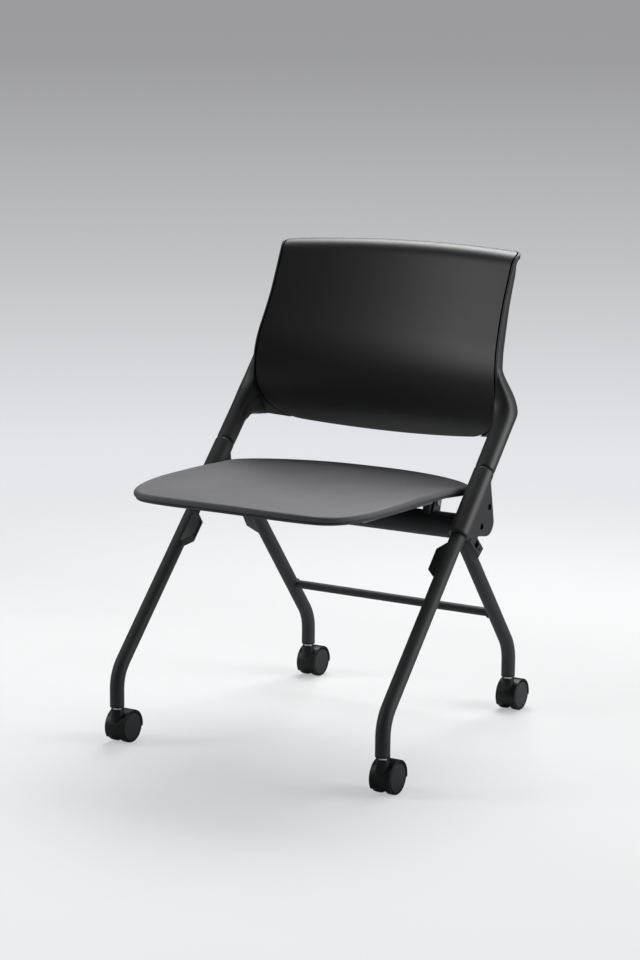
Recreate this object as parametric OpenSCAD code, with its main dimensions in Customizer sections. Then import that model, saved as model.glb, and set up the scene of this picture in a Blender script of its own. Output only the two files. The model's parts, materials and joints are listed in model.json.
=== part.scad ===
// Conference chair on four swivel castors, with a tip-up seat.
// The chair faces -Y, +Z is up and the origin lies on the floor under its middle.

/* [Stance] */
// Distance each rear castor stem stands inside the front one
rear_set = 51; // [45:0.5:60]
// Distance from the origin forward to the front castor stems
front_reach = 265; // [240:1:290]
// Distance from the origin back to the rear castor stems
rear_reach = 281; // [270:1:300]

/* [Castors] */
// Wheel diameter
wheel_d = 56; // [50:1:60]
// Width over both wheels
castor_w = 38; // [34:1:44]
// Distance the axle trails behind the stem
castor_trail = 19; // [17:1:22]
// Height of the sockets' underside above the floor
castor_h = 66; // [64:1:74]
// Thickness of the web between the wheels
castor_web = 6; // [5:0.5:8]
// Wall of the hood over the wheels
hood_wall = 1.6; // [1.2:0.1:2.5]
// Diameter of the round boss that turns on the stem
swivel_d = 22; // [20:0.5:24]
// Stem diameter
stem_d = 11; // [9:0.5:12]
// Axle diameter
axle_d = 6; // [5:0.5:7]

/* [Legs] */
// Outer diameter of the leg tubes
tube_d = 25; // [24:0.5:27]
// Wall of the leg tubes
tube_wall = 2; // [1.5:0.1:2.5]
// Centreline radius of the bend above each castor
bend_r = 70; // [55:1:80]
// Height where the front legs' centrelines turn
front_knee = 124.5; // [120:0.5:135]
// Slope of the front legs from upright
front_lean = 43.2; // [42:0.1:45]
// Height where the rear legs' centrelines turn
rear_knee = 120.8; // [118:0.1:130]
// Slope of the rear legs from upright
rear_lean = 38.8; // [37:0.1:40]
// Diameter of the bar between the rear legs
crossbar_d = 15.5; // [12:0.5:18]
// Height of that bar
crossbar_z = 195.8; // [180:0.2:240]

/* [Side hubs] */
// Distance along the front leg from its knee to the hub
hub_rise = 359; // [350:1:365]
// Length of the hub's sleeve
hub_len = 131.5; // [126:0.5:136]
// Outer diameter of the sleeve and of the arm above it
sleeve_d = 35; // [33:0.5:38]
// Thickness of the hub's triangular web
hub_w = 32; // [28:0.5:33]
// Reach of the web's corner from the sleeve's axis
web_reach = 86.3; // [80:0.1:92]
// Radius of the web's corner
web_r = 23; // [18:0.5:26]
// Shank diameter of the hub screws
hub_screw_d = 8; // [6:0.5:10]

/* [Seat beam] */
// Outer diameter of the beam under the seat
beam_d = 44; // [40:0.5:46]
// Wall of the beam
beam_wall = 2; // [1.5:0.1:3]
// Height of the beam's axis
beam_z = 381; // [378:0.5:384]
// Thickness of the plate on each end of the beam
plate_t = 5; // [4:0.5:5.5]

/* [Seat hinge] */
// Distance of the hinge pins behind the beam's axis
pivot_back = 12; // [8:0.5:16]
// Height of the hinge pins above the beam's axis
pivot_up = 37; // [36:0.5:38]
// Hinge pin diameter
pin_d = 10; // [8:0.5:11]
// Distance of each carrier's middle inside the rear castor stem
hinge_set = 53.5; // [40:0.5:75]
// Width of the carriers
carrier_w = 12; // [10:0.5:16]
// Thickness of the hinge ears
ear_t = 4; // [3:0.5:6]

/* [Seat] */
// Greatest width of the seat, which the legs, the hubs and the back follow
seat_w = 484; // [460:1:520]
// Clearance between the seat and the hub's sleeve
seat_room = 5; // [4:0.5:10]
// Depth of the seat
seat_depth = 483; // [450:1:490]
// Distance of the seat's rear edge behind the origin
seat_rear = 153; // [145:1:158]
// Height of the crown that the seat's rim follows
seat_z = 466.6; // [464:0.2:480]
// Depth of the dish in the seat
seat_dish = 12; // [6:0.5:14]
// Thickness of the upper shell at its rim
shell_t = 6.5; // [5:0.5:8]
// Thickness of the lower shell at its rim
under_t = 5; // [4:0.5:7]
// Height of the flat that the carriers are screwed to
pad_z = 441; // [438:0.5:443]

/* [Back] */
// How much wider than the seat the panel is at its widest
back_over = 6; // [0:0.5:9]
// How much narrower the panel is in its upper half
back_taper = 22; // [10:0.5:40]
// Height of the panel's lumbar crest
crest_z = 626; // [615:1:640]
// Distance of the crest's edges behind the origin
crest_y = 141; // [138:0.5:150]
// Radius of the panel below the crest
low_r = 190; // [170:1:220]
// Radius of the panel above the crest
lumbar_r = 163; // [140:1:180]
// Lean of the panel's straight upper half
back_lean = 23.9; // [20:0.1:26]
// Length of that straight half
back_run = 139.7; // [120:0.1:160]
// Radius of the roll along the top edge
roll_r = 36; // [30:0.5:45]
// Distance the panel's middle lies behind its edges
back_bow = 33; // [20:0.5:40]
// Thickness of the panel
panel_t = 4; // [3:0.5:5]
// Depth of the rails at the panel's lower half
rail_d = 25; // [22:0.5:28]
// Depth of the rim along the top
rim_d = 18; // [15:0.5:20]
// Width of the rail that shows beside the panel
rail_lip = 5.5; // [4:0.5:7]

/* [Hidden] */
$fn = 48;

// Clearances and the overrun of every cut
fit = 0.1;
run_fit = 0.05;
joint_gap = 0.6;
body_gap = 0.3;
cut = 1;

// Colours
black = "#26282a";
charcoal = "#303234";
grey = "#6f7072";
steel = "#b9bbbd";
rubber = "#1b1c1d";

// Castors: the wheels run under a hood, each on one half of the axle
wheel_r = wheel_d / 2;
wheel_gap = 0.5;
hood_in = wheel_r + wheel_gap;
hood_r = hood_in + hood_wall;
hood_front_lip = 35;
hood_rear_lip = 10;
swivel_low = 40;
swivel_drop = 4;
swivel_top = castor_h - swivel_drop;
collar_d = 16;
flange_t = 3;
plug_len = 26;
stem_top = castor_h + plug_len;
stem_low = wheel_r + sqrt(pow(hood_in, 2) - pow(castor_trail - stem_d / 2, 2)) + 2 * wheel_gap;
axle_boss_r = 10;
axle_boss_out = 3.5;
axle_boss_w = castor_web + 2 * axle_boss_out;
axle_cap = 3;
tread_round = 2.5;
disc_step = 0.8;
disc_rim = 5;
disc_r = wheel_r - disc_rim;

// Legs: an upright foot, a bend and a straight run, drawn in the plane of Y and Z
front_x = seat_w / 2 + seat_room + sleeve_d / 2;
rear_x = front_x - rear_set;
leg_foot = castor_h + flange_t;
bore_d = tube_d - 2 * tube_wall;
leg_in_arm = 60;
leg_top = hub_rise + hub_len + leg_in_arm;
bend_lap = 0.5;
bend_swell = 0.05;
beam_y = rear_reach - (beam_z - rear_knee) * tan(rear_lean);
beam_rise = (beam_z - rear_knee) / cos(rear_lean);
crossbar_y = rear_reach - (crossbar_z - rear_knee) * tan(rear_lean);

// Side hubs, in a plane with s along the front leg and t square to it
web_start = 0.6;
web_short = 14;
web_end = hub_len - web_short;
web_corner_rise = 57.3;
hub_screw_out = 31;
hub_screw_low = 41.3;
hub_screw_high = 81.4;
hub_head_d = 2 * hub_screw_d;
hub_head_h = hub_screw_d / 2;
hex_share = 0.6;
hex_deep_share = 0.8;
hub_in = front_x - hub_w / 2;
hub_out = front_x + hub_w / 2;
plate_in = hub_in - plate_t;
plate_r = 12;

// Bumpers on the legs, which meet when chairs are nested
front_pad_out = 12;
front_pad_w = 18;
front_pad_top = 17;
front_pad_flat1 = 35;
front_pad_flat2 = 76;
front_pad_low = 90;
rear_pad_out = 14;
rear_pad_w = 20;
rear_pad_clear = 3;
rear_pad_top = beam_d / 2 + rear_pad_clear;
rear_pad_wide = 66;
rear_pad_low = 85;
rear_slot_top = 40;
rear_slot_low = 50;
pad_recess = 1.5;
pad_margin = 4;
pad_bite = 4;
pad_screw_d = 4;

// Seat hinge
hinge_x = rear_x - hinge_set;
pivot_y = beam_y + pivot_back;
pivot_z = beam_z + pivot_up;
ear_r = 11;
ear_root_r = 16;
pin_rim = 2.5;
pin_head_d = pin_d + 2 * pin_rim;
pin_head_t = 2.5;
carrier_front_y = -172;
carrier_front_z = 422;
carrier_rear_z = 415;
carrier_nose = 10;
stop_len = 14;
stop_back = 12;
seat_screw_d = 5;
seat_screw_bite = 5;
seat_screw_front = -140;
seat_screw_rear = 20;

// Seat: its rim falls to the rear, is crowned along its depth and drops at its sides
seat_fall = 4.4;
seat_crown = 10.2;
seat_side_drop = 6.1;
seat_edge_r = 2.5;
seat_groove = 1;
seat_groove_in = 4;
under_in = 3;
dish_t = 5;
seat_steps = 2;
seat_mid_share = 0.5;
// Half of the seat's outline, from the rear middle to the front middle: across, along
seat_outline_share = [[0, 0], [0.32, 0.003], [0.6, 0.034], [0.8, 0.08], [0.91, 0.12],
    [0.975, 0.16], [1, 0.215], [0.99, 0.26], [0.973, 0.33], [0.977, 0.43], [0.972, 0.55],
    [0.975, 0.655], [0.963, 0.745], [0.94, 0.815], [0.91, 0.865], [0.865, 0.913],
    [0.8, 0.95], [0.7, 0.976], [0.5, 0.993], [0.25, 0.999], [0, 1]];
dish_ring_share = [0.2, 0.4, 0.6, 0.75, 0.87, 0.95];
under_flat_share = 0.86;

// Back: a sheet on a profile of two arcs, a straight run and a roll at the top
back_w_low = seat_w + back_over;
back_w_top = back_w_low - back_taper;
low_end = 131;
low_rise = 25;
low_corner_r = 70;
top_corner_r = 16;
top_flare = 6;
roll_end = 86;
taper_from = -26;
taper_to = 150;
panel_gap = 1;
shell_mid = 8;
shell_short = 5;
shell_rise = 19;
shell_corner_r = 20;
shell_front = 0.8;
lumbar_len = lumbar_r * back_lean * PI / 180;
roll_len = roll_r * (roll_end - back_lean) * PI / 180;
roll_start = lumbar_len + back_run;
back_top = roll_start + roll_len;
back_cols = 12;
back_row_share = [0, 0.05, 0.1, 0.17, 0.25, 0.33, 0.41, 0.49, 0.57, 0.65, 0.73, 0.81,
    0.87, 0.9, 0.925, 0.95, 0.975, 1];
rail_from_share = 0.8;
rail_full_share = 0.94;
rim_zone = 60;
rim_ease = 40;
back_screw_d = 4;
back_screw_bite = 3;
back_screw_x = 150;
back_screw_low = -45;
back_screw_high = 130;

// Arms: round bars from the hubs that flatten into the rails
arm_turn = 562;
arm_rail = 640;
elbow_y = 176;
arm_front_set = 2;
arm_inner_set = 12;
arm_sides = 24;
arm_share = [-0.55, -0.2, -0.05, 0.06, 0.18, 0.32, 0.48, 0.64, 0.82, 1, 1.3];
arm_square_share = 0.55;
arm_lag_share = 0.3;
arm_screw_d = 6;
arm_screw_rise = 32;

// Webs that fill the corners between the arms and the shell
gusset_t = 7.5;
gusset_r = 20;
gusset_at = 563;
gusset_side = 10;
gusset_foot = 18;
gusset_tail = [182, 521.5];
gusset_top = [160, 562];

// The drawing's small helpers
function unit(v) = v / norm(v);
function ease(h) = let(k = min(1, max(0, h))) k * k * (3 - 2 * k);
function blend(a, b, h) = a + (b - a) * h;
function power(v, e) = sign(v) * pow(abs(v), e);
function turned(a, r) = [r * cos(a), r * sin(a)];

// Corner i of a polygon rounded by r: its circle's centre and its two tangent points
function corner_half(p, c, n) = acos(unit(p - c) * unit(n - c)) / 2;
function corner_mid(p, c, n, r) =
    c + unit(unit(p - c) + unit(n - c)) * r / sin(corner_half(p, c, n));
function corner_feet(p, c, n, r) =
    let(reach = r / tan(corner_half(p, c, n))) [c + unit(p - c) * reach, c + unit(n - c) * reach];

// Convex polygon with a radius at each corner, made of true arcs
module soft_polygon(pts, radii) {
    last = len(pts) - 1;
    function before(i) = pts[i == 0 ? last : i - 1];
    function after(i) = pts[i == last ? 0 : i + 1];
    polygon([for (i = [0 : last])
        each radii[i] > 0 ? corner_feet(before(i), pts[i], after(i), radii[i]) : [pts[i]]]);
    for (i = [0 : last])
        if (radii[i] > 0)
            translate(corner_mid(before(i), pts[i], after(i), radii[i])) circle(radii[i]);
}

// Two circles and the straight sides that touch both
module strap(p, r, q, w) {
    along = atan2(q[1] - p[1], q[0] - p[0]);
    side = acos((r - w) / norm(q - p));
    translate(p) circle(r);
    translate(q) circle(w);
    polygon([p + turned(along + side, r), p + turned(along - side, r),
        q + turned(along - side, w), q + turned(along + side, w)]);
}

// A drawing in Y and Z made w wide along X, about x
module across(x, w) {
    translate([x - w / 2, 0, 0]) rotate([90, 0, 90]) linear_extrude(w) children();
}

// A cylinder along X from x1 to x2
module bar(x1, x2, y, z, d) {
    translate([x1, y, z]) rotate([0, 90, 0]) cylinder(d = d, h = x2 - x1);
}

module left() {
    mirror([1, 0, 0]) children();
}

// Solid between two grids of points that share their outline's order
module slab(front, back) {
    rows = len(front);
    cols = len(front[0]);
    all = rows * cols;
    function at(i, j) = i * cols + j;
    quads = concat(
        [for (i = [0 : rows - 2]) for (j = [0 : cols - 2])
            [at(i, j), at(i, j + 1), at(i + 1, j + 1), at(i + 1, j)]],
        [for (i = [0 : rows - 2]) for (j = [0 : cols - 2])
            [for (k = [at(i, j), at(i + 1, j), at(i + 1, j + 1), at(i, j + 1)]) k + all]],
        [for (j = [0 : cols - 2]) [at(0, j + 1), at(0, j), at(0, j) + all, at(0, j + 1) + all]],
        [for (j = [0 : cols - 2]) let(a = at(rows - 1, j), b = at(rows - 1, j + 1))
            [a, b, b + all, a + all]],
        [for (i = [0 : rows - 2]) [at(i, 0), at(i + 1, 0), at(i + 1, 0) + all, at(i, 0) + all]],
        [for (i = [0 : rows - 2]) let(a = at(i, cols - 1), b = at(i + 1, cols - 1))
            [b, a, a + all, b + all]]);
    polyhedron(points = concat([for (row = front) each row], [for (row = back) each row]),
        faces = [for (q = quads) each [[q[2], q[1], q[0]], [q[3], q[2], q[0]]]]);
}

// Solid through a list of closed rings with the same number of points
module loft(rings) {
    n = len(rings[0]);
    count = len(rings);
    middle = [for (ring = [rings[0], rings[count - 1]])
        [for (k = [0 : 2]) [for (p = ring) p[k]] * [for (p = ring) 1] / n]];
    quads = [for (i = [0 : count - 2]) for (j = [0 : n - 1])
        let(a = i * n + j, b = i * n + (j + 1) % n) [a, b, b + n, a + n]];
    first = n * count;
    ends = [for (j = [0 : n - 1]) each [[first, j, (j + 1) % n],
        [first + 1, (count - 1) * n + (j + 1) % n, (count - 1) * n + j]]];
    polyhedron(points = concat([for (ring = rings) each ring], middle),
        faces = concat(ends, [for (q = quads) each [[q[2], q[1], q[0]], [q[3], q[2], q[0]]]]));
}

// Legs
function front_leg_at(s) =
    [-front_reach + s * sin(front_lean), front_knee + s * cos(front_lean)];

// Solid of a bent leg of diameter d, its run going up and by lean toward +Y. The straight
// ends lap into the bend, which is swollen a little so that it swallows them.
module leg_bar(x, y, knee, lean, run, d, foot) {
    tangent = bend_r * tan(lean / 2);
    translate([x, y, foot]) cylinder(d = d, h = knee - tangent - foot + bend_lap);
    translate([x, y + bend_r, knee - tangent]) rotate([90, 0, -90]) {
        rotate_extrude(angle = lean) translate([bend_r, 0]) circle(d = d + bend_swell);
        rotate([0, 0, lean]) translate([bend_r, -bend_lap, 0]) rotate([-90, 0, 0])
            cylinder(d = d, h = run - tangent + bend_lap);
    }
}

module front_leg() {
    color(charcoal) difference() {
        leg_bar(front_x, -front_reach, front_knee, front_lean, leg_top, tube_d, leg_foot);
        leg_bar(front_x, -front_reach, front_knee, front_lean, leg_top + cut, bore_d,
            leg_foot - cut);
        for (s = [screw_place(front_pad_flat1), screw_place(front_pad_flat2)])
            in_front_leg(s) rotate([0, -90, 0])
                cylinder(d = pad_screw_d + 2 * fit, h = tube_d / 2 + cut);
        in_front_leg(hub_rise + hub_len + arm_screw_rise) rotate([-90, 0, 0])
            cylinder(d = arm_screw_d + 2 * fit, h = tube_d / 2 + cut);
    }
}

// Places a child on the right front leg, z along its run and y square to it
module in_front_leg(s) {
    translate([front_x, -front_reach, front_knee]) rotate([-front_lean, 0, 0])
        translate([0, 0, s]) children();
}

// Distance up the front leg of a bumper screw, a margin inside an end of the flat
function screw_place(below) =
    hub_rise - below + (below == front_pad_flat1 ? -2 : 2) * pad_margin;

// Places a child on the right rear leg, z up its run from the beam's axis
module in_rear_leg(s) {
    translate([rear_x, beam_y, beam_z]) rotate([rear_lean, 0, 0]) translate([0, 0, s]) children();
}

module rear_leg() {
    color(charcoal) difference() {
        translate([0, 2 * rear_reach, 0]) mirror([0, 1, 0])
            leg_bar(rear_x, rear_reach, rear_knee, rear_lean, beam_rise, tube_d, leg_foot);
        translate([0, 2 * rear_reach, 0]) mirror([0, 1, 0])
            leg_bar(rear_x, rear_reach, rear_knee, rear_lean, beam_rise + cut, bore_d,
                leg_foot - cut);
        bar(0, 2 * front_x, beam_y, beam_z, beam_d);
        in_rear_leg(-(rear_slot_low + rear_pad_wide) / 2) rotate([0, 90, 0])
            cylinder(d = pad_screw_d + 2 * fit, h = tube_d / 2 + cut);
    }
}

module rear_crossbar() {
    color(charcoal) difference() {
        bar(-rear_x, rear_x, crossbar_y, crossbar_z, crossbar_d);
        for (side = [0, 1]) mirror([side, 0, 0])
            in_rear_leg(-beam_rise) cylinder(d = tube_d, h = beam_rise);
    }
}

module seat_beam() {
    color(charcoal) difference() {
        bar(-plate_in, plate_in, beam_y, beam_z, beam_d);
        bar(-plate_in - cut, plate_in + cut, beam_y, beam_z, beam_d - 2 * beam_wall);
    }
}

// Places in Y and Z of a point at s and t on the hub
function hub_at(s, t) = front_leg_at(hub_rise + s) + t * [cos(front_lean), -sin(front_lean)];

module mount_plate() {
    beam = [beam_y, beam_z];
    low = hub_at(hub_screw_low, hub_screw_out);
    high = hub_at(hub_screw_high, hub_screw_out);
    color(charcoal) difference() {
        across((plate_in + hub_in) / 2, plate_t) {
            strap(low, plate_r, high, plate_r);
            strap(low, plate_r, beam, beam_d / 2);
            strap(high, plate_r, beam, beam_d / 2);
            polygon([low, high, beam]);
        }
        for (p = [low, high])
            bar(plate_in - cut, hub_in + cut, p[0], p[1], hub_screw_d + 2 * fit);
    }
}

// Side hubs
module hub() {
    color(black) difference() {
        union() {
            in_front_leg(hub_rise) cylinder(d = sleeve_d, h = hub_len);
            in_front_leg(hub_rise) translate([-hub_w / 2, 0, 0]) rotate([90, 0, 90])
                linear_extrude(hub_w) soft_polygon(
                    [[0, web_start], [web_reach, web_corner_rise], [0, web_end]], [0, web_r, 0]);
        }
        in_front_leg(hub_rise - cut) cylinder(d = tube_d + 2 * fit, h = hub_len + 2 * cut);
        for (s = [hub_screw_low, hub_screw_high]) {
            p = hub_at(s, hub_screw_out);
            bar(hub_in - cut, hub_out + cut, p[0], p[1], hub_screw_d + 2 * fit);
            translate([hub_out - hub_head_h - fit, p[0], p[1]]) rotate([0, 90, 0])
                cylinder(d1 = hub_screw_d + 2 * fit, d2 = hub_head_d + 2 * fit,
                    h = hub_head_h + fit);
            translate([hub_out, p[0], p[1]]) rotate([0, 90, 0])
                cylinder(d = hub_head_d + 2 * fit, h = cut);
        }
    }
}

module hub_screw(s) {
    p = hub_at(s, hub_screw_out);
    difference() {
        union() {
            bar(plate_in, hub_out - hub_head_h, p[0], p[1], hub_screw_d);
            translate([hub_out - hub_head_h, p[0], p[1]]) rotate([0, 90, 0])
                cylinder(d1 = hub_screw_d, d2 = hub_head_d, h = hub_head_h);
        }
        translate([hub_out - hex_deep_share * hub_head_h, p[0], p[1]]) rotate([0, 90, 0])
            cylinder(d = hex_share * hub_screw_d, h = hub_head_h, $fn = 6);
    }
}

module hub_screws() {
    color(rubber) for (side = [0, 1]) mirror([side, 0, 0])
        for (s = [hub_screw_low, hub_screw_high]) hub_screw(s);
}

// Bumpers
module front_bumper() {
    out = -tube_d / 2 - front_pad_out;
    color(rubber) in_front_leg(hub_rise) difference() {
        translate([0, front_pad_w / 2, 0]) rotate([90, 0, 0]) linear_extrude(front_pad_w)
            polygon([[-tube_d / 4, -front_pad_top], [out, -front_pad_flat1],
                [out, -front_pad_flat2], [-tube_d / 4, -front_pad_low]]);
        translate([0, 0, -front_pad_low - cut])
            cylinder(d = tube_d + 2 * fit, h = front_pad_low + cut);
        translate([out - cut, -front_pad_w / 2 + pad_margin, -front_pad_flat2 + pad_margin])
            cube([pad_recess + cut, front_pad_w - 2 * pad_margin,
                front_pad_flat2 - front_pad_flat1 - 2 * pad_margin]);
        for (s = [screw_place(front_pad_flat1), screw_place(front_pad_flat2)])
            translate([out - cut, 0, s - hub_rise]) rotate([0, 90, 0])
                cylinder(d = pad_screw_d + 2 * fit, h = front_pad_out + 2 * cut);
    }
}

module rear_bumper() {
    out = tube_d / 2 + rear_pad_out;
    color(rubber) in_rear_leg(0) difference() {
        translate([0, rear_pad_w / 2, 0]) rotate([90, 0, 0]) linear_extrude(rear_pad_w)
            polygon([[tube_d / 4, -rear_pad_top], [out - pad_margin, -rear_pad_top],
                [out, -rear_pad_wide], [tube_d / 4, -rear_pad_low]]);
        translate([0, 0, -rear_pad_low - cut]) cylinder(d = tube_d + 2 * fit, h = rear_pad_low);
        translate([out - 2 * pad_margin, -rear_pad_w / 2 + pad_margin, -rear_slot_low])
            cube([2 * pad_margin + cut, rear_pad_w - 2 * pad_margin,
                rear_slot_low - rear_slot_top]);
        translate([0, 0, -(rear_slot_low + rear_pad_wide) / 2]) rotate([0, 90, 0])
            cylinder(d = pad_screw_d + 2 * fit, h = out + cut);
    }
}

// A plain round screw along +Z
module pad_screw(length) {
    cylinder(d = pad_screw_d, h = length);
}

module bumper_screws() {
    color(rubber) for (side = [0, 1]) mirror([side, 0, 0]) {
        for (s = [screw_place(front_pad_flat1), screw_place(front_pad_flat2)])
            in_front_leg(s) translate([-tube_d / 2 + pad_bite, 0, 0]) rotate([0, -90, 0])
                pad_screw(front_pad_out - pad_recess + pad_bite);
        in_rear_leg(-(rear_slot_low + rear_pad_wide) / 2)
            translate([tube_d / 2 - pad_bite, 0, 0]) rotate([0, 90, 0])
                pad_screw(rear_pad_out - pad_margin + pad_bite);
    }
}

// Castors, each drawn about its stem
function corner(name) = [
    (name[1] == "l" ? -1 : 1) * (name[0] == "f" ? front_x : rear_x),
    name[0] == "f" ? -front_reach : rear_reach];

module at_castor(name) {
    translate([corner(name)[0], corner(name)[1], 0]) children();
}

module castor_socket() {
    color(rubber) difference() {
        union() {
            translate([0, 0, castor_h]) cylinder(d = tube_d, h = flange_t);
            translate([0, 0, castor_h]) cylinder(d = bore_d - 2 * fit, h = flange_t + plug_len);
        }
        translate([0, 0, castor_h - cut])
            cylinder(d = stem_d + 2 * run_fit, h = flange_t + plug_len + 2 * cut);
    }
}

module castor_stem() {
    color(steel) union() {
        translate([0, 0, stem_low]) cylinder(d = stem_d, h = stem_top - stem_low);
        translate([0, 0, swivel_top]) cylinder(d = collar_d, h = castor_h - body_gap - swivel_top);
    }
}

// The side of the hood: a disc of radius r open below its two lips
module hood_side(r) {
    far = 3 * r;
    difference() {
        circle(r);
        polygon([[0, 0], turned(180 + hood_front_lip, far), [0, -far],
            turned(-hood_rear_lip, far)]);
    }
}

module castor_hood() {
    color(charcoal) difference() {
        union() {
            translate([0, castor_trail, wheel_r]) across(0, castor_w) hood_side(hood_r);
            translate([0, castor_trail, wheel_r]) across(0, axle_boss_w) circle(axle_boss_r);
            translate([0, 0, swivel_low]) cylinder(d = swivel_d, h = swivel_top - swivel_low);
        }
        for (side = [0, 1]) mirror([side, 0, 0])
            translate([castor_web / 2, castor_trail, wheel_r]) rotate([0, 90, 0])
                difference() {
                    cylinder(r = hood_in, h = castor_w);
                    cylinder(r = axle_boss_r, h = (axle_boss_w - castor_web) / 2);
                }
        bar(-castor_w, castor_w, castor_trail, wheel_r, axle_d + 2 * fit);
        translate([0, 0, stem_low - fit])
            cylinder(d = stem_d + 2 * fit, h = swivel_top - stem_low + cut);
    }
}

module castor_axle() {
    half = castor_w / 2 - axle_cap - body_gap;
    color(steel) bar(-half, half, castor_trail, wheel_r, axle_d);
}

// The wheel on the +X side: tread, flat disc and a pocket round the axle's boss
module castor_wheel() {
    inner = castor_web / 2 + body_gap;
    outer = castor_w / 2;
    pocket = axle_boss_w / 2 + body_gap;
    color(rubber) translate([0, castor_trail, wheel_r]) rotate([0, 90, 0]) rotate_extrude()
        polygon([[axle_boss_r + body_gap, inner], [wheel_r - tread_round, inner],
            [wheel_r, inner + tread_round], [wheel_r, outer - tread_round],
            [wheel_r - tread_round, outer], [disc_r, outer],
            [disc_r, outer - disc_step], [0, outer - disc_step], [0, outer - axle_cap],
            [axle_d / 2 + run_fit, outer - axle_cap], [axle_d / 2 + run_fit, pocket],
            [axle_boss_r + body_gap, pocket]]);
}

// Hinge between the beam and the seat
module hinge_ears() {
    color(charcoal) difference() {
        for (side = [-1, 1])
            across(hinge_x + side * (carrier_w / 2 + body_gap + ear_t / 2), ear_t)
                strap([beam_y, beam_z], ear_root_r, [pivot_y, pivot_z], ear_r);
        bar(0, 2 * front_x, beam_y, beam_z, beam_d);
        bar(0, 2 * front_x, pivot_y, pivot_z, pin_d + 2 * fit);
    }
}

module hinge_pin() {
    half = carrier_w / 2 + body_gap + ear_t;
    color(steel) union() {
        bar(hinge_x - half, hinge_x + half, pivot_y, pivot_z, pin_d);
        bar(hinge_x + half, hinge_x + half + pin_head_t, pivot_y, pivot_z, pin_head_d);
        bar(hinge_x - half - pin_head_t, hinge_x - half, pivot_y, pivot_z, pin_head_d);
    }
}

// Lower edge of a carrier at y
function carrier_low(y) = blend(carrier_front_z, carrier_rear_z,
    (y - carrier_front_y) / (pivot_y - carrier_front_y));

module carrier() {
    color(steel) difference() {
        across(hinge_x, carrier_w) {
            polygon([[carrier_front_y, carrier_front_z + carrier_nose / 2],
                [carrier_front_y + carrier_nose, carrier_low(carrier_front_y + carrier_nose)],
                [pivot_y, carrier_low(pivot_y)], [pivot_y + ear_r / 2, pivot_z],
                [pivot_y + ear_r / 2, pad_z], [carrier_front_y, pad_z]]);
            translate([pivot_y, pivot_z]) circle(ear_r);
        }
        bar(0, 2 * front_x, pivot_y, pivot_z, pin_d + 2 * run_fit);
        for (y = [seat_screw_front, seat_screw_rear]) {
            translate([hinge_x, y, carrier_low(y) - cut])
                cylinder(d = seat_screw_d + 2 * fit, h = pad_z);
            translate([hinge_x, y, carrier_low(y) - 2 * cut])
                cylinder(d = 2 * seat_screw_d + 2 * fit, h = seat_screw_d + 2 * cut);
        }
    }
}

module seat_screws() {
    color(rubber) for (side = [0, 1]) mirror([side, 0, 0])
        for (y = [seat_screw_front, seat_screw_rear]) {
            head = carrier_low(y) + seat_screw_d;
            translate([hinge_x, y, head])
                cylinder(d = seat_screw_d, h = pad_z + seat_screw_bite - head);
            translate([hinge_x, y, head - seat_screw_d / 2])
                cylinder(d = 2 * seat_screw_d, h = seat_screw_d / 2);
        }
}

// Rubber stops on the carriers, which rest on the beam
module stop_pads() {
    far = pivot_y - stop_back;
    near = far - stop_len;
    color(rubber) for (side = [0, 1]) mirror([side, 0, 0]) difference() {
        across(hinge_x, carrier_w) polygon([[near, carrier_low(near)], [near, beam_z],
            [far, beam_z], [far, carrier_low(far)]]);
        bar(0, 2 * front_x, beam_y, beam_z, beam_d + 2 * body_gap);
    }
}

// Seat
function spline_at(a, b, c, d, h) = (2 * b + (c - a) * h + (2 * a - 5 * b + 4 * c - d) * h * h
    + (3 * b - a - 3 * c + d) * h * h * h) / 2;
function flip(p) = [-p[0], p[1]];
function smooth_half(pts, n) = let(last = len(pts) - 1) [for (i = [0 : last - 1])
    let(a = i == 0 ? flip(pts[1]) : pts[i - 1],
        d = i == last - 1 ? flip(pts[last - 1]) : pts[i + 2])
    for (k = [0 : n - 1]) spline_at(a, pts[i], pts[i + 1], d, k / n)];

seat_half = concat(smooth_half(seat_outline_share, seat_steps), [[0, 1]]);
seat_loop = concat(seat_half, [for (i = [len(seat_half) - 2 : -1 : 1]) flip(seat_half[i])]);

// Height of the surface through the seat's rim at shares u across and v along
function rim_z(u, v) = let(q = 1 - 2 * v)
    seat_z - seat_fall * q - seat_crown * q * q - seat_side_drop * u * u;
function dish_z(f) = seat_dish * pow(1 - f * f, 2);

// Ring at share f of the way out to the outline, down below the seat's top surface
function seat_ring(f, down) = [for (p = seat_loop)
    let(u = p[0] * f, v = seat_mid_share + (p[1] - seat_mid_share) * f)
    [u * seat_w / 2, seat_rear - v * seat_depth, rim_z(u, v) - dish_z(f) - down]];
function inset(d) = 1 - d / (seat_w / 2);

// Ring on the flat underside, eased up to the rim outside the flat
function under_ring(f, down) = let(flat = ease((1 - f) / (1 - under_flat_share)))
    [for (p = seat_ring(f, down)) [p[0], p[1], blend(p[2], pad_z, flat)]];

module seat_shell() {
    color(grey) loft(concat(
        [for (f = dish_ring_share) seat_ring(f, 0)],
        [seat_ring(inset(seat_edge_r), 0), seat_ring(inset(seat_edge_r / 4), seat_edge_r / 4),
            seat_ring(1, seat_edge_r), seat_ring(1, shell_t)],
        [for (i = [len(dish_ring_share) - 1 : -1 : 0])
            seat_ring(dish_ring_share[i], blend(dish_t, shell_t, dish_ring_share[i]))]));
}

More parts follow.
